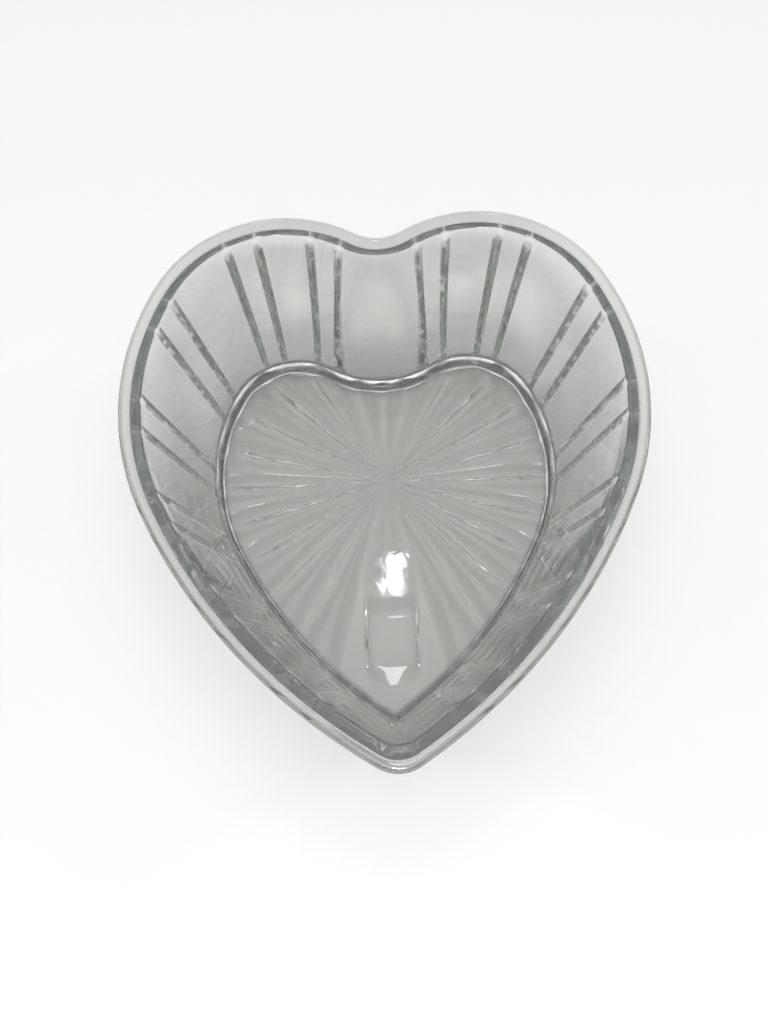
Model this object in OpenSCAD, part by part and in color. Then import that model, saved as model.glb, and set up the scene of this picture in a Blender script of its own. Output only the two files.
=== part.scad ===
// Heart-shaped trinket box bowl, one pressing of clear glass.
// The origin is at the middle of the footprint, on the surface the bowl stands on. +Z is up,
// the point of the heart faces -Y and its two lobes face +Y.

/* [Heart outline, at the outside of the rim] */
// Widest distance across the two lobes
width = 115; // [105:1:125]
// Radius of the dip between the lobes
dip_r = 10; // [7:0.5:12]
// Radius of each lobe
lobe_r = 32; // [30:0.5:34]
// Radius of the shoulder outside each lobe, where the heart is widest
shoulder_r = 61; // [56:1:66]
// Direction the wall faces where a lobe runs into its shoulder, up from the X axis
shoulder_start = 28; // [24:1:30]
// Direction the wall faces where a shoulder runs into its side, down from the X axis
shoulder_end = 25; // [20:1:28]
// Radius of the long side that runs to the point
side_r = 125; // [118:1:132]
// Radius of the point
point_r = 8; // [7:0.5:10]

/* [Section through the wall] */
// Height from the foot to the top of the rim
height = 50; // [44:1:56]
// Width of the flat band on top of the rim
rim_w = 5; // [4.8:0.1:5.5]
// Height of the plain lip round the outside of the rim
lip_h = 2.6; // [2.4:0.1:3.2]
// How far the lip stands out from the wall below it
lip_out = 2.4; // [2.2:0.1:2.6]
// How far the inside of the wall leans in, from the rim to the floor
lean = 10.8; // [10:0.2:11.6]
// Thickness of the wall just above the floor, measured level
wall_t = 4.2; // [3.8:0.1:4.6]
// Height of the plain band at the bottom of the wall, below the grooves
heel_z = 5.5; // [4.5:0.5:7]
// Height of the inside floor
floor_z = 5.6; // [5.2:0.1:6.4]
// Size of the rounded corner between the wall and the floor
fillet = 1.1; // [1:0.1:1.8]

/* [Pairs of grooves down the outside of the wall] */
// Places of the pairs at the rim, in percent of the way from the dip round to the point
pair_places = [6.2, 17.9, 33, 47, 60, 73, 86];
// Distance between the two grooves of a pair, at the rim
pair_gap = 8.2; // [7:0.2:9]
// Width of a groove at the rim; like the wall, it narrows towards the foot
groove_w = 2.8; // [2:0.1:3]
// Depth of a groove
groove_d = 1; // [0.7:0.1:1.1]

/* [Foot and sunburst] */
// Width of the ring that the bowl stands on
foot_w = 3.1; // [2.8:0.1:3.6]
// Depth of the hollow inside the ring, at the middle of the sunburst
hollow = 1.3; // [1:0.1:1.5]
// Number of rays in the sunburst
rays = 24; // [20:2:28]
// How much deeper a ray cuts, for each millimetre out from the middle
ray_rise = 0.05; // [0.03:0.005:0.055]
// Greatest depth of a ray
ray_depth = 1.8; // [1.4:0.1:2]
// Distance of the sunburst's middle from the middle of the footprint
sunburst_y = 15.5; // [12:0.5:18]

/* [Hidden] */

function direction(a) = [cos(a), sin(a)];
function mirrored(points) = [for (i = [len(points) - 1:-1:0]) [-points[i].x, points[i].y]];

// Steps along each arc of half the outline
dip_steps = 6;
lobe_steps = 18;
shoulder_steps = 11;
side_steps = 10;
point_steps = 6;

// Arc centres, with Y counted from the widest level
shoulder_c = [width / 2 - shoulder_r, 0];
lobe_c = shoulder_c + (shoulder_r - lobe_r) * direction(shoulder_start);
side_c = shoulder_c + (shoulder_r - side_r) * direction(-shoulder_end);
dip_c = [0, lobe_c.y + sqrt((lobe_r + dip_r) ^ 2 - lobe_c.x ^ 2)];
dip_end = atan2(lobe_c.y - dip_c.y, lobe_c.x);
// The point sharpens towards the floor, where the outline is smaller
floor_inset = rim_w + lean;
floor_point_r = 1.5;
function point_r_at(inset) = point_r + (floor_point_r - point_r) * min(inset / floor_inset, 1);
function point_reach(inset) = side_r - inset - point_r_at(inset);
function point_c(inset) = [0, side_c.y - sqrt(point_reach(inset) ^ 2 - side_c.x ^ 2)];
function point_start(inset) = -acos(-side_c.x / point_reach(inset));
// Moves the heart so that its footprint is centred on Y
shift = [0, (point_r - point_c(0).y - lobe_c.y - lobe_r) / 2];

function arc(c, r, from, to, steps) =
    [for (i = [0:steps]) c + shift + r * direction(from + (to - from) * i / steps)];
function tail(points) = [for (i = [1:len(points) - 1]) points[i]];

// Right half of the outline, from the dip to the point, set in from the rim's outside by inset
function half_heart(inset) = let (to_point = point_start(inset)) concat(
    arc(dip_c, dip_r + inset, -90, dip_end, dip_steps),
    tail(arc(lobe_c, lobe_r - inset, 180 + dip_end, shoulder_start, lobe_steps)),
    tail(arc(shoulder_c, shoulder_r - inset, shoulder_start, -shoulder_end, shoulder_steps)),
    tail(arc(side_c, side_r - inset, -shoulder_end, to_point, side_steps)),
    tail(arc(point_c(inset), point_r_at(inset), to_point, -90, point_steps)));
function heart(inset) = let (half = half_heart(inset), other = mirrored(half))
    concat(half, [for (i = [1:len(other) - 2]) other[i]]);

// The wall's two faces, as insets at a height
lip_z = height - lip_h;
outer_low = floor_inset - wall_t;
function outer_inset(z) = outer_low + (lip_out - outer_low) * (z - heel_z) / (lip_z - heel_z);
function inner_inset(z) = rim_w + lean * (height - z) / (height - floor_z);

// Section of the wall as [inset, height] pairs, from the foot over the rim to the inside floor
edge = 1;
half_edge = 0.3 * edge;
foot_edge = 1.6 * edge;
section = [
    [outer_low + foot_edge, 0],
    [outer_low + half_edge, half_edge],
    [outer_low, foot_edge],
    [outer_low, heel_z],
    [lip_out, lip_z],
    [half_edge, lip_z + half_edge],
    [0, lip_z + 0.8 * edge],
    [0, height - edge],
    [half_edge, height - half_edge],
    [edge, height],
    [rim_w - edge, height],
    [rim_w - half_edge, height - half_edge],
    [inner_inset(height - edge), height - edge],
    [inner_inset(floor_z + fillet), floor_z + fillet],
    [floor_inset + 0.25 * fillet, floor_z + 0.3 * fillet],
    [floor_inset + 0.85 * fillet, floor_z]
];

module shell() {
    rings = [for (s = section) [for (p = heart(s[0])) [p.x, p.y, s[1]]]];
    count = len(rings[0]);
    last = len(rings) - 1;
    walls = [for (k = [0:last - 1], i = [0:count - 1])
        let (a = k * count + i, b = k * count + (i + 1) % count)
        each [[a, b, b + count], [a, b + count, a + count]]];
    polyhedron(
        points = [for (ring = rings) each ring],
        faces = concat([[for (i = [count - 1:-1:0]) i]], walls,
            [[for (i = [0:count - 1]) last * count + i]]));
}

// Where each stretch of half the outline ends, measured along the outside of the rim
per_degree = PI / 180;
dip_to = dip_r * (90 + dip_end) * per_degree;
lobe_to = dip_to + lobe_r * (180 + dip_end - shoulder_start) * per_degree;
shoulder_to = lobe_to + shoulder_r * (shoulder_start + shoulder_end) * per_degree;
side_to = shoulder_to + side_r * (-shoulder_end - point_start(0)) * per_degree;
half_len = side_to + point_r * (point_start(0) + 90) * per_degree;

// Point of the right half's outline at a distance from the dip, set in by inset
function turned(s, from, r) = (s - from) / r / per_degree;
function outline_at(s, inset) = shift + (
    s < dip_to ? dip_c + (dip_r + inset) * direction(turned(s, 0, dip_r) - 90)
    : s < lobe_to ? lobe_c + (lobe_r - inset) * direction(180 + dip_end - turned(s, dip_to, lobe_r))
    : s < shoulder_to
        ? shoulder_c + (shoulder_r - inset) * direction(shoulder_start - turned(s, lobe_to, shoulder_r))
    : side_c + (side_r - inset) * direction(-shoulder_end - turned(s, shoulder_to, side_r)));

// How far the feet of the grooves slide towards the dip, by place, both in percent of the way round
foot_slides = [[0, 0], [5, -1.9], [18, -0.6], [33, 0]];

// One V groove, from the plain band at the bottom up to the lip, with its mouth open past the wall
module groove(s) {
    past = 1;
    half_mouth = groove_w / 2 * (1 + past / groove_d);
    foot_s = s + half_len / 100 * lookup(100 * s / half_len, foot_slides);
    function corners(s, z) = let (inset = outer_inset(z)) [
        for (c = [[-half_mouth, -past], [0, groove_d], [half_mouth, -past]])
            let (p = outline_at(s + c[0], inset + c[1])) [p.x, p.y, z]];
    polyhedron(
        points = concat(corners(foot_s, heel_z + half_edge), corners(s, lip_z - half_edge)),
        faces = [[0, 1, 2], [5, 4, 3], [1, 0, 3], [1, 3, 4], [2, 1, 4], [2, 4, 5], [0, 2, 5], [0, 5, 3]]);
}

// Hollow under the floor: the inside of the foot ring, roofed by pleats that meet in the middle.
// Two creases towards the point are left out, which leaves one broad petal there.
module sunburst_hollow() {
    reach = width;
    count = 2 * rays;
    rim_points = [for (i = [0:count - 1])
        let (a = -90 + 180 * i / rays, r = reach / cos(90 / rays), cut = i % 2 == 1 || i == 0)
        [r * cos(a), r * sin(a) + sunburst_y, hollow + (cut ? ray_rise * reach : 0)]];
    below = [for (p = rim_points) [p.x, p.y, -1]];
    intersection() {
        translate([0, 0, -0.5])
            linear_extrude(0.5 + hollow + ray_depth) polygon(heart(outer_low + foot_edge + foot_w));
        polyhedron(
            points = concat([[0, sunburst_y, hollow]], rim_points, below),
            faces = concat(
                [for (i = [0:count - 1]) [0, 1 + (i + 1) % count, 1 + i]],
                [for (i = [0:count - 1]) let (a = 1 + i, b = 1 + (i + 1) % count)
                    each [[a, b, b + count], [a, b + count, a + count]]],
                [[for (i = [0:count - 1]) 1 + count + i]]));
    }
}

module glass_bowl() {
    color([0.80, 0.84, 0.82, 0.6])
    difference() {
        shell();
        sunburst_hollow();
        for (place = pair_places, apart = [-0.5, 0.5], side = [0, 1])
            mirror([side, 0, 0]) groove(place / 100 * half_len + apart * pair_gap);
    }
}

glass_bowl();
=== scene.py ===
"""Looks of the heart-shaped glass bowl: a fine mesh of the pressing, its glass, and a plain pale studio."""

import math

import bpy
import numpy as np
from mathutils import Matrix, Vector, noise


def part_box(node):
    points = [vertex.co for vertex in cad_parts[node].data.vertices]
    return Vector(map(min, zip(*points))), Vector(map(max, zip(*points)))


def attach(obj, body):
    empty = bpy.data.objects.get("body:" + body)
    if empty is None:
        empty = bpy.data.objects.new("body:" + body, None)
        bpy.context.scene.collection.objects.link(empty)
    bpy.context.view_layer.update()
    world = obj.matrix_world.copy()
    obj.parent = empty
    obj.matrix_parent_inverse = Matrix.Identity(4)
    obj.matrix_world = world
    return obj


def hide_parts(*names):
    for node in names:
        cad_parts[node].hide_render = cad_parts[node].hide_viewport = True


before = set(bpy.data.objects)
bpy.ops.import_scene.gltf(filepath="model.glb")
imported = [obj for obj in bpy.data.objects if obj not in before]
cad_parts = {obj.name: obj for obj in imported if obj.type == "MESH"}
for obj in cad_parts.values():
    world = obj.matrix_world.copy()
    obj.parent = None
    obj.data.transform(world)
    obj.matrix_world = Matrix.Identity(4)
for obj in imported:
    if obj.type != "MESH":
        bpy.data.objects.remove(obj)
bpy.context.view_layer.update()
low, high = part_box("glass_bowl")

# The bowl's own millimetre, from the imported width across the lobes
MM = (high.x - low.x) / 115
WIDTH = high.x - low.x
HEIGHT = high.z

# Outline at the outside of the rim, as arcs from the dip between the lobes round to the point
DIP_R = 10 * MM
LOBE_R = 32 * MM
SHOULDER_R = 61 * MM
SIDE_R = 125 * MM
POINT_R = 8 * MM
FLOOR_POINT_R = 1.5 * MM
SHOULDER_START = math.radians(28)
SHOULDER_END = math.radians(-25)
SIDE_END = math.radians(-54)

# Section through the wall; LIP_RISE is the slope under the lip, HOLLOW_SLOPE the slope of the hollow's edge
RIM_W = 5 * MM
LIP_H = 2.6 * MM
LIP_RISE = 0.4 * MM
LIP_OUT = 2.4 * MM
LEAN = 10.8 * MM
WALL_T = 4.2 * MM
FLOOR_Z = 5.6 * MM
HEEL_Z = 5.5 * MM
FILLET = 0.6 * MM
FOOT_W = 3.5 * MM
FOOT_ROUND = 1.2 * MM
HOLLOW_SLOPE = 0.6 * MM

# Roundings of the section's corners, in the order in which wall_rings() meets them
FOOT_IN_ROUND = 0.35 * MM
FOOT_OUT_ROUND = 1.4 * MM
HEEL_ROUND = 1.0 * MM
UNDER_LIP_ROUND = 0.4 * MM
LIP_ROUND = 0.35 * MM
RIM_OUT_ROUND = 1.3 * MM
RIM_IN_ROUND = 0.5 * MM

# Unevenness of the inside: its height on the floor and, 40 mm from the sunburst's middle, on the wall,
# and its length
WAVE = 0.03 * MM
WALL_WAVE = 0.14 * MM
WAVE_LEN = 14 * MM
# How far from the rim's edges the outside ends and the wall's unevenness starts
RIM_CLEAR = 0.5 * MM

# Pairs of grooves down the outside: places at the rim in percent of the way from the dip to the point,
# how far their feet slide from there, the distance between the two, a groove's width and depth, the
# height over which it sets in above the plain band, and where it starts and ends to fade below the lip
PAIR_PLACES = (6.2, 17.9, 33, 47, 60, 73, 86)
FOOT_SLIDES = ((0, 0), (5, -1.9), (18, -0.6), (33, 0))
PAIR_GAP = 8.2 * MM
GROOVE_W = 2.8 * MM
GROOVE_D = 1.0 * MM
GROOVE_RUN_IN = 1.5 * MM
GROOVE_FADE = (2.2 * MM, 0.2 * MM)
# Unevenness of a groove's depth, as a share of it, and its length
GROOVE_WEAR = 0.25
GROOVE_WEAR_LEN = 3 * MM

# Fine ridges that the joints of the mould leave on the lip: distance from the dip, height and width
SEAM_PLACE = 51 * MM
SEAM_OUT = 0.2 * MM
SEAM_W = 0.9 * MM

# Sunburst under the floor: flutes that meet in ridges, deeper outwards, and a little shallower again at
# their ends. The flute towards the point fades out, and a petal of even depth takes over.
RAYS = 24
HOLLOW = 1.3 * MM
RAY_RISE = 0.05
RAY_DEPTH = 1.8 * MM
RAY_FADE = 0.2
RAY_FADE_FROM = 0.75
SUNBURST_Y = 15.5 * MM
LAST_FLUTE_FADE = (24 * MM, 34 * MM)
PETAL_W = 13.4 * MM
PETAL_LEN = 53.2 * MM
PETAL_END = 5.7 * MM
PETAL_DEPTH = 1.1 * MM
PETAL_SETS_IN = (26 * MM, 36 * MM)

# Fineness of the mesh: its even stations along half the outline and the least gap between stations, how
# close the extra ones lie to a groove's edges and a ray's crease, its steps down the section and round a
# corner, and its rings under and on the floor
SPREAD_STATIONS = 190
LEAST_GAP = 0.1 * MM
NEAR_GROOVE = 0.15 * MM
NEAR_CREASE = 0.2 * MM
SECTION_STEP = 1.2 * MM
ARC_STEPS = 8
SUNBURST_RINGS = 70
FLOOR_RINGS = 40

# Glass: tint of its skin, partly the glass's own grey and partly painted shade that darkens it for the dimmer
# light around the bowl, and tint and density (per metre) of its depth
GLASS_TINT = (0.875, 0.875, 0.855, 1)
DEPTH_TINT = (0.42, 0.50, 0.44, 1)
DEPTH_DENSITY = 12

# Skin: noise scale (per metre) and detail of its ripples, pits, haze and patches of painted shade, the height
# of the ripples and pits in metres, and how rough haze and worn edges make it
RIPPLES = (110, 1)
PITS = (900, 3)
HAZE = (45, 4)
SHADE_PATCHES = (380, 3)
RIPPLE_HEIGHT = 0.00004
PIT_HEIGHT = 0.000006
HAZE_ROUGHNESS = 0.04
WEAR_ROUGHNESS = 0.12

# Painted shade: a dark tint that stands in for the shade in the grooves, the corner round the floor and on
# the foot. Its tint, the share of a groove's depth where it is full, how much lies in the corner round the
# floor and on the foot, and how rough it makes the glass
PAINTED_SHADE_TINT = (0.10, 0.10, 0.09, 1)
PAINTED_SHADE_FULL = 0.25
CORNER_PAINTED_SHADE = 0.8
FOOT_PAINTED_SHADE = 0.45
PAINTED_SHADE_ROUGHNESS = 0.22

# Studio: how bright the dome is at heights from the horizon to overhead, and its full strength; each
# light's place, size in metres and power in watts
SKY = ((0.02, 1.0), (0.15, 1.0), (0.28, 0.03), (0.80, 0.09), (0.93, 0.66), (0.99, 0.66))
SKY_STRENGTH = 3.0
LIGHTS = (
    ("overhead", (0.0, -0.36, 0.80), (0.16, 0.10), 3.2),
    ("left", (-0.70, 0.10, 0.50), (0.12, 0.2), 0.5),
    ("right", (0.70, 0.20, 0.55), (0.12, 0.2), 0.45),
    ("lamp", (0.012, 0.226, 0.80), (0.022, 0.04), 0.1),
)
# Floor: half its side and how far it lies below the foot, in metres, and its grey
FLOOR_REACH = 3.0
FLOOR_DROP = 0.0002
FLOOR_GREY = 0.80


def direction(angle):
    return np.stack([np.cos(angle), np.sin(angle)], -1)


# Arc centres of the right half, with Y counted from the widest level
SHOULDER_C = np.array([WIDTH / 2 - SHOULDER_R, 0.0])
LOBE_C = SHOULDER_C + (SHOULDER_R - LOBE_R) * direction(SHOULDER_START)
SIDE_C = SHOULDER_C + (SHOULDER_R - SIDE_R) * direction(SHOULDER_END)
DIP_C = np.array([0.0, LOBE_C[1] + math.sqrt((LOBE_R + DIP_R) ** 2 - LOBE_C[0] ** 2)])
DIP_END = math.atan2(LOBE_C[1] - DIP_C[1], LOBE_C[0])
FLOOR_INSET = RIM_W + LEAN


def point_arc(inset):
    """Radius, centre and first direction of the arc at the point, which sharpens towards the floor."""
    radius = POINT_R + (FLOOR_POINT_R - POINT_R) * min(inset / FLOOR_INSET, 1)
    reach = SIDE_R - inset - radius
    centre = np.array([0.0, SIDE_C[1] - math.sqrt(reach ** 2 - SIDE_C[0] ** 2)])
    return radius, centre, -math.acos(-SIDE_C[0] / reach)


point_radius, point_centre, point_start = point_arc(0)
SHIFT = np.array([0.0, (point_radius - point_centre[1] - LOBE_C[1] - LOBE_R) / 2])

# Where each stretch of half the outline ends, measured along the outside of the rim
DIP_TO = DIP_R * (DIP_END + math.pi / 2)
LOBE_TO = DIP_TO + LOBE_R * (math.pi + DIP_END - SHOULDER_START)
SHOULDER_TO = LOBE_TO + SHOULDER_R * (SHOULDER_START - SHOULDER_END)
SIDE_TO = SHOULDER_TO + SIDE_R * (SHOULDER_END - SIDE_END)
POINT_FROM = SIDE_TO + SIDE_R * (SIDE_END - point_start)
HALF_LEN = POINT_FROM + POINT_R * (point_start + math.pi / 2)


def outline(stations, inset):
    """Points of the heart at signed distances from the dip, set in from the rim's outside by inset."""
    s = np.abs(stations)
    radius, centre, start = point_arc(inset)
    end_share = (s - SIDE_TO) / (POINT_FROM - SIDE_TO)
    point_share = (s - POINT_FROM) / (HALF_LEN - POINT_FROM)
    dip = DIP_C + (DIP_R + inset) * direction(-math.pi / 2 + s / DIP_R)
    lobe = LOBE_C + (LOBE_R - inset) * direction(math.pi + DIP_END - (s - DIP_TO) / LOBE_R)
    shoulder = SHOULDER_C + (SHOULDER_R - inset) * direction(SHOULDER_START - (s - LOBE_TO) / SHOULDER_R)
    side = SIDE_C + (SIDE_R - inset) * direction(SHOULDER_END - (s - SHOULDER_TO) / SIDE_R)
    end = SIDE_C + (SIDE_R - inset) * direction(SIDE_END + (start - SIDE_END) * end_share)
    point = centre + radius * direction(start - (start + math.pi / 2) * point_share)
    stretches = [(DIP_TO, dip), (LOBE_TO, lobe), (SHOULDER_TO, shoulder), (SIDE_TO, side), (POINT_FROM, end)]
    points = np.select([(s <= to)[:, None] for to, _ in stretches], [p for _, p in stretches], point)
    points[:, 0] *= np.where(stations < 0, -1, 1)
    return points + SHIFT


def smooth(x, start, end):
    """0 up to start, 1 from end on, and a smooth step between them."""
    t = np.clip((x - start) / (end - start), 0, 1)
    return t * t * (3 - 2 * t)


CENTRE = np.array([0.0, SUNBURST_Y])
LIP_Z = HEIGHT - LIP_H
OUTER_LOW = FLOOR_INSET - WALL_T
HOLLOW_INSET = OUTER_LOW + FOOT_ROUND + FOOT_W


def bearing(points):
    """Direction of each point from the sunburst's middle, in radians from the point of the heart."""
    d = points - CENTRE
    return np.arctan2(d[:, 0], -d[:, 1])


GROOVES = [place / 100 * HALF_LEN + side * PAIR_GAP / 2 for place in PAIR_PLACES for side in (-1, 1)]


def half_stations():
    """Distances along half the outline: an even spread, with more at the edges of grooves and rays."""
    spread = list(np.linspace(0, HALF_LEN, SPREAD_STATIONS))
    for middle in GROOVES:
        for corner in (-GROOVE_W / 2, 0, GROOVE_W / 2):
            spread += [middle + corner + shift for shift in (-NEAR_GROOVE, 0, NEAR_GROOVE)]
    spread += [SEAM_PLACE + shift * SEAM_W for shift in (-0.5, -0.25, 0, 0.25, 0.5)]
    dense = np.linspace(0, HALF_LEN, 4000)
    turned = bearing(outline(dense, HOLLOW_INSET))
    for k in range(RAYS + 1):
        crease = np.interp(math.pi * k / RAYS, turned[::-1], dense[::-1])
        spread += [crease + shift for shift in (-NEAR_CREASE, 0, NEAR_CREASE)]
    kept = []
    for s in sorted(min(max(s, 0), HALF_LEN) for s in spread):
        if not kept or s - kept[-1] > LEAST_GAP:
            kept.append(s)
    kept[-1] = HALF_LEN
    return np.array(kept)


half = half_stations()
STATIONS = np.concatenate([half, -half[-2:0:-1]])


def groove_shape():
    """Depth of the grooves at each station, from 0 on the wall to 1 at the bottom of a groove."""
    away = np.min([np.abs(np.abs(STATIONS) - middle) for middle in GROOVES], axis=0)
    return np.clip(1 - away / (GROOVE_W / 2), 0, 1)


def slid_stations(z):
    """Stations at a height on the outside, where the grooves lean towards the dip as they go down."""
    places, slides = np.array(FOOT_SLIDES).T * HALF_LEN / 100
    slide = np.interp(np.abs(STATIONS), places, slides)
    return STATIONS + np.sign(STATIONS) * slide * np.interp(z, [0, HEEL_Z, LIP_Z], [0, 1, 0])


def rounded(corners, step):
    """A line through (inset, height, rounding) corners, each one rounded, cut into pieces of about step."""
    line = []
    for i, (x, z, size) in enumerate(corners):
        here = np.array([x, z])
        if i in (0, len(corners) - 1):
            line.append(here)
            continue
        before = np.array(corners[i - 1][:2]) - here
        after = np.array(corners[i + 1][:2]) - here
        first = here + before / np.linalg.norm(before) * size
        last = here + after / np.linalg.norm(after) * size
        for t in np.linspace(0, 1, ARC_STEPS + 1):
            line.append((1 - t) ** 2 * first + 2 * t * (1 - t) * here + t * t * last)
    cut = [line[0]]
    for a, b in zip(line, line[1:]):
        parts = max(1, round(np.linalg.norm(b - a) / step))
        cut += [a + (b - a) * k / parts for k in range(1, parts + 1)]
    return cut


def groove_cut(z):
    """Depth of the grooves at a height."""
    set_in = smooth(z, HEEL_Z, HEEL_Z + GROOVE_RUN_IN)
    faded = smooth(z, LIP_Z - GROOVE_FADE[0], LIP_Z - GROOVE_FADE[1])
    return GROOVE_D * float(set_in * (1 - faded))


def wall_rings():
    """Rings of the wall from the hollow's edge, over the foot, up the outside, and down to the floor.

    A ring's columns are x, y, z and how much painted shade darkens the glass there.
    """
    corners = [
        (HOLLOW_INSET, HOLLOW, 0),
        (HOLLOW_INSET - HOLLOW_SLOPE, 0, FOOT_IN_ROUND),
        (OUTER_LOW, 0, FOOT_OUT_ROUND),
        (OUTER_LOW, HEEL_Z, HEEL_ROUND),
        (LIP_OUT, LIP_Z, UNDER_LIP_ROUND),
        (0, LIP_Z + LIP_RISE, LIP_ROUND),
        (0, HEIGHT, RIM_OUT_ROUND),
        (RIM_W, HEIGHT, RIM_IN_ROUND),
        (FLOOR_INSET, FLOOR_Z, FILLET),
        (FLOOR_INSET + 2 * FILLET, FLOOR_Z, 0),
    ]
    grooves = groove_shape()
    seams = np.clip(1 - np.abs(np.abs(STATIONS) - SEAM_PLACE) / (SEAM_W / 2), 0, 1)
    rings = []
    outside = True
    for inset, z in rounded(corners, SECTION_STEP)[:-1]:
        outside = outside and z < HEIGHT - RIM_CLEAR
        stations = slid_stations(z) if outside else STATIONS
        ring = outline(stations, inset)
        cut = groove_cut(z)
        painted_shade = np.zeros(len(ring))
        # Painted shade: the grooves are darkened, most at their middle, to stand in for the shade seen in
        # them
        if outside and cut > 0:
            painted_shade = smooth(grooves, 0, PAINTED_SHADE_FULL) * cut / GROOVE_D
            worn = [1 + GROOVE_WEAR * noise.noise(Vector((x, y, z)) / GROOVE_WEAR_LEN) for x, y in ring]
            ring = ring + (outline(stations, inset + cut) - ring) * (grooves * worn)[:, None]
        if z > LIP_Z and (outside or inset < RIM_W):
            ring = ring + (outline(stations, inset - SEAM_OUT) - ring) * seams[:, None]
        if not outside and inset > RIM_W + RIM_CLEAR:
            lift = [noise.noise(Vector((x, y, z / 2)) / WAVE_LEN) for x, y in ring]
            ring = ring + (CENTRE - ring) / 40 / MM * WALL_WAVE * np.array(lift)[:, None]
        # Painted shade on the foot
        if outside and z < HEEL_Z:
            painted_shade += FOOT_PAINTED_SHADE
        # Painted shade in the corner round the floor
        if not outside and z < FLOOR_Z + FILLET:
            painted_shade += CORNER_PAINTED_SHADE
        rings.append(np.column_stack([ring, np.full(len(ring), z), painted_shade]))
        # From here on floor_rings() carries the floor
        if not outside and inset > FLOOR_INSET + 0.9 * FILLET:
            break
    return rings


def waves(ring):
    """Heights of the slight unevenness that the plunger leaves on the floor."""
    return [noise.noise(Vector((x, y, HEIGHT)) / WAVE_LEN) * WAVE for x, y in ring]


def floor_rings(edge, count):
    """Rings that shrink from the edge of the inside floor to its middle."""
    rings = []
    for share in np.linspace(1, 0, count, endpoint=False)[1:]:
        flat = CENTRE + (edge[:, :2] - CENTRE) * share
        rings.append(np.column_stack([flat, FLOOR_Z + np.array(waves(flat)), np.zeros(len(flat))]))
    return rings


def ray_height(points, share):
    """How far the rays and the petal are cut up into the floor, at points at share of the way to the edge."""
    away = points - CENTRE
    out = np.linalg.norm(away, axis=1)
    turn = np.abs(bearing(points)) / (2 * math.pi / RAYS)
    flute = np.where(turn < 1, np.cos(turn * math.pi / 2), np.abs(np.sin(turn * math.pi)))
    fade = np.where(turn < 1, 1 - smooth(out, *LAST_FLUTE_FADE), 1)
    ends = 1 - RAY_FADE * smooth(share, RAY_FADE_FROM, 1)
    flutes = np.minimum(out * RAY_RISE, RAY_DEPTH) * flute * fade * ends
    across = np.abs(away[:, 0]) / (PETAL_W / 2)
    beyond = np.maximum(-away[:, 1] - (PETAL_LEN - PETAL_END), 0) / PETAL_END
    sides = np.clip((1 - across) / 0.15, 0, 1)
    end = np.clip(1 - beyond / np.sqrt(np.clip(1 - across ** 2, 0.01, 1)), 0, 1)
    groove = PETAL_DEPTH * sides * end * smooth(-away[:, 1], *PETAL_SETS_IN)
    return np.maximum(flutes, np.where(turn < 1, groove, 0))


def sunburst_rings(edge, count):
    """Rings of the underside, from the sunburst's middle out; the hollow's edge is lifted to meet them."""
    rings = []
    for share in np.linspace(0, 1, count + 1)[1:-1]:
        flat = CENTRE + (edge[:, :2] - CENTRE) * share
        rings.append(np.column_stack([flat, HOLLOW + ray_height(flat, share), np.zeros(len(flat))]))
    edge[:, 2] += ray_height(edge[:, :2], 1)
    return rings


def closed_mesh(name, rings, first, last):
    """One closed skin through the rings, with a fan from a middle point at each end."""
    count = len(rings[0])
    points = np.concatenate([[first], *rings, [last]])
    faces = [(0, 1 + i, 1 + (i + 1) % count) for i in range(count)]
    for k in range(len(rings) - 1):
        a = 1 + k * count
        for i in range(count):
            j = (i + 1) % count
            faces.append((a + i, a + count + i, a + count + j, a + j))
    end, a = len(points) - 1, 1 + (len(rings) - 1) * count
    faces += [(end, a + (i + 1) % count, a + i) for i in range(count)]
    mesh = bpy.data.meshes.new(name)
    mesh.from_pydata([tuple(p) for p in points[:, :3]], [], faces)
    # The painted shade mask goes onto the mesh as a point attribute
    mesh.attributes.new("painted_shade", "FLOAT", "POINT").data.foreach_set("value", points[:, 3].astype(np.float32))
    mesh.validate()
    mesh.shade_smooth()
    return mesh


def build_bowl():
    wall = wall_rings()
    rings = sunburst_rings(wall[0], SUNBURST_RINGS) + wall + floor_rings(wall[-1], FLOOR_RINGS)
    middle_under = (*CENTRE, HOLLOW, 0)
    middle_floor = (*CENTRE, FLOOR_Z, 0)
    mesh = closed_mesh("pressed_glass_bowl", rings, middle_under, middle_floor)
    bowl = bpy.data.objects.new("pressed_glass_bowl", mesh)
    bpy.context.scene.collection.objects.link(bowl)
    bowl.cycles.is_caustics_caster = True
    return bowl


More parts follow.
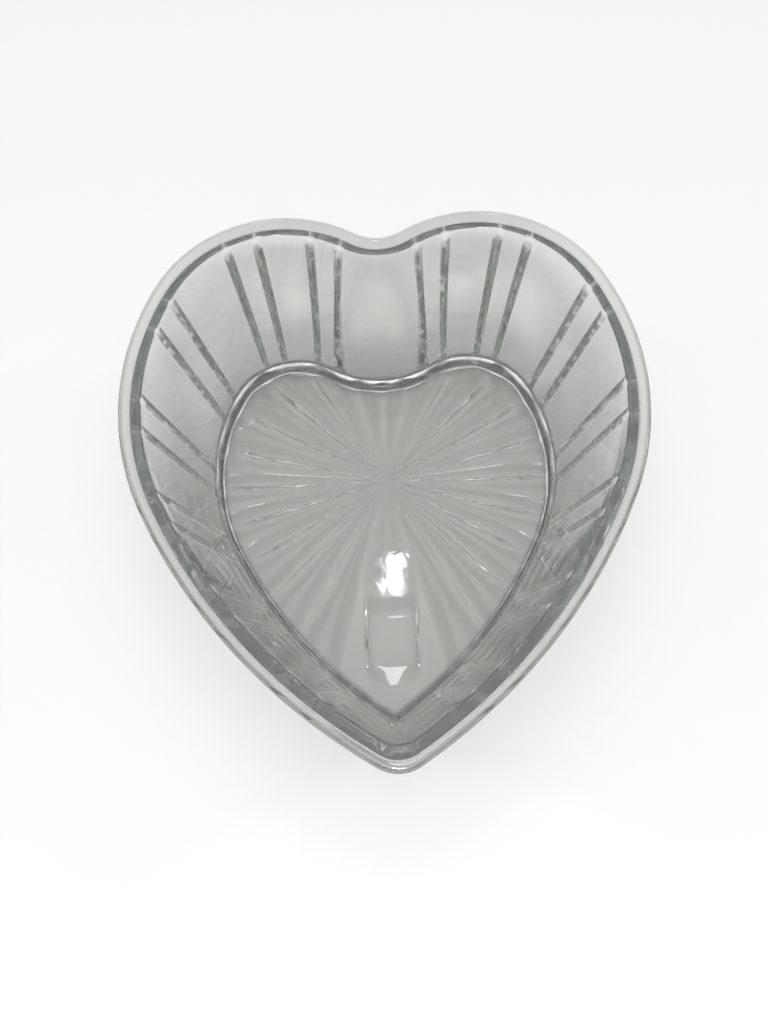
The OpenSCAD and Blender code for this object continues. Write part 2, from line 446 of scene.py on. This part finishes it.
def clear_glass():
    """Clear glass, grey-green in its depth, with ripples, pits, hazy patches, worn edges and painted shade in
    the grooves, the floor's corner and on the foot.
    """
    material = bpy.data.materials.new("clear_pressed_glass")
    material.use_nodes = True
    nodes, links = material.node_tree.nodes, material.node_tree.links
    shader = nodes["Principled BSDF"]
    shader.inputs["Transmission Weight"].default_value = 1
    shader.inputs["IOR"].default_value = 1.5
    where = nodes.new("ShaderNodeTexCoord").outputs["Object"]

    def grain(scale, detail):
        node = nodes.new("ShaderNodeTexNoise")
        node.inputs["Scale"].default_value = scale
        node.inputs["Detail"].default_value = detail
        links.new(where, node.inputs["Vector"])
        return node.outputs["Fac"]

    def bump(height, distance):
        node = nodes.new("ShaderNodeBump")
        node.inputs["Distance"].default_value = distance
        links.new(height, node.inputs["Height"])
        return node

    def mapped(value, start, end, top):
        node = nodes.new("ShaderNodeMapRange")
        node.inputs["From Min"].default_value = start
        node.inputs["From Max"].default_value = end
        node.inputs["To Max"].default_value = top
        links.new(value, node.inputs["Value"])
        return node.outputs["Result"]

    def math_node(operation, first, second):
        node = nodes.new("ShaderNodeMath")
        node.operation = operation
        links.new(first, node.inputs[0])
        links.new(second, node.inputs[1])
        return node.outputs["Value"]

    ripples = bump(grain(*RIPPLES), RIPPLE_HEIGHT)
    pits = bump(grain(*PITS), PIT_HEIGHT)
    links.new(ripples.outputs["Normal"], pits.inputs["Normal"])
    links.new(pits.outputs["Normal"], shader.inputs["Normal"])
    haze = mapped(grain(*HAZE), 0.55, 0.75, HAZE_ROUGHNESS)
    pointiness = nodes.new("ShaderNodeNewGeometry").outputs["Pointiness"]
    wear = mapped(pointiness, 0.54, 0.62, WEAR_ROUGHNESS)
    # Painted shade: the mesh's mask, mottled by noise, darkens the base colour and roughens the glass
    where_painted_shade = nodes.new("ShaderNodeAttribute")
    where_painted_shade.attribute_name = "painted_shade"
    shade_patches = mapped(grain(*SHADE_PATCHES), 0.25, 0.50, 1)
    painted_shade = math_node("MULTIPLY", where_painted_shade.outputs["Fac"], shade_patches)
    rough = math_node("ADD", math_node("ADD", haze, wear), mapped(painted_shade, 0, 1, PAINTED_SHADE_ROUGHNESS))
    links.new(rough, shader.inputs["Roughness"])
    # Base colour turns to the painted shade tint where the mask is full
    tint = nodes.new("ShaderNodeMix")
    tint.data_type = "RGBA"
    tint.inputs["A"].default_value = GLASS_TINT
    tint.inputs["B"].default_value = PAINTED_SHADE_TINT
    links.new(painted_shade, tint.inputs["Factor"])
    links.new(tint.outputs["Result"], shader.inputs["Base Color"])
    absorb = nodes.new("ShaderNodeVolumeAbsorption")
    absorb.inputs["Color"].default_value = DEPTH_TINT
    absorb.inputs["Density"].default_value = DEPTH_DENSITY
    links.new(absorb.outputs["Volume"], nodes["Material Output"].inputs["Volume"])
    return material


def pale_matt(name, grey):
    material = bpy.data.materials.new(name)
    material.use_nodes = True
    shader = material.node_tree.nodes["Principled BSDF"]
    shader.inputs["Base Color"].default_value = (grey, grey, grey, 1)
    shader.inputs["Roughness"].default_value = 0.9
    shader.inputs["Specular IOR Level"].default_value = 0.0
    return material


def build_floor():
    corners = [(x * FLOOR_REACH, y * FLOOR_REACH, 0) for x, y in ((-1, -1), (1, -1), (1, 1), (-1, 1))]
    mesh = bpy.data.meshes.new("studio_floor")
    mesh.from_pydata(corners, [], [(0, 1, 2, 3)])
    floor = bpy.data.objects.new("studio_floor", mesh)
    floor.location.z = -FLOOR_DROP
    mesh.materials.append(pale_matt("studio_floor", FLOOR_GREY))
    bpy.context.scene.collection.objects.link(floor)
    floor.cycles.is_caustics_receiver = True


def build_world():
    """A soft dome: bright overhead and in a narrow band at the horizon, and dark between."""
    world = bpy.data.worlds.new("studio")
    bpy.context.scene.world = world
    world.use_nodes = True
    nodes, links = world.node_tree.nodes, world.node_tree.links
    where = nodes.new("ShaderNodeTexCoord")
    split = nodes.new("ShaderNodeSeparateXYZ")
    ramp = nodes.new("ShaderNodeValToRGB")
    steps = ramp.color_ramp.elements
    for position, grey in SKY:
        steps.new(position).color = (grey, grey, grey, 1)
    steps.remove(steps[0])
    steps.remove(steps[-1])
    links.new(where.outputs["Generated"], split.inputs["Vector"])
    links.new(split.outputs["Z"], ramp.inputs["Fac"])
    links.new(ramp.outputs["Color"], nodes["Background"].inputs["Color"])
    nodes["Background"].inputs["Strength"].default_value = SKY_STRENGTH


def soft_light(name, place, size, power):
    """An oblong softbox at place, facing the bowl."""
    data = bpy.data.lights.new(name, "AREA")
    data.shape = "RECTANGLE"
    data.size, data.size_y = size
    data.energy = power
    data.cycles.is_caustics_light = True
    light = bpy.data.objects.new(name, data)
    light.location = place
    light.rotation_mode = "QUATERNION"
    light.rotation_quaternion = Vector(place).to_track_quat("Z", "Y")
    bpy.context.scene.collection.objects.link(light)


def build_camera():
    """Nearly overhead, from the side of the heart's point, a little turned."""
    elevation = math.radians(70.2)
    azimuth = math.radians(-1)
    turn = math.radians(-1.24)
    distance = 227.7 * MM
    target = Vector((-1.05 * MM, -10 * MM, HEIGHT))
    level = math.cos(elevation)
    back = Vector((level * math.sin(azimuth), -level * math.cos(azimuth), math.sin(elevation)))
    data = bpy.data.cameras.new("camera")
    data.sensor_fit = "VERTICAL"
    data.sensor_height = 24
    data.lens = 25.78125
    data.clip_start = 0.01
    camera = bpy.data.objects.new("camera", data)
    camera.location = target + back * distance
    camera.rotation_mode = "QUATERNION"
    camera.rotation_quaternion = back.to_track_quat("Z", "Y") @ Matrix.Rotation(turn, 3, "Z").to_quaternion()
    bpy.context.scene.collection.objects.link(camera)
    bpy.context.scene.camera = camera


build_camera()
build_world()
for light in LIGHTS:
    soft_light(*light)
build_floor()
bowl = build_bowl()
bowl.data.materials.append(clear_glass())
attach(bowl, "root")
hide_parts("glass_bowl")

scene = bpy.context.scene
scene.view_settings.view_transform = "Standard"
scene.cycles.use_denoising = True
scene.cycles.max_bounces = 32
scene.cycles.transmission_bounces = 32
scene.cycles.glossy_bounces = 16
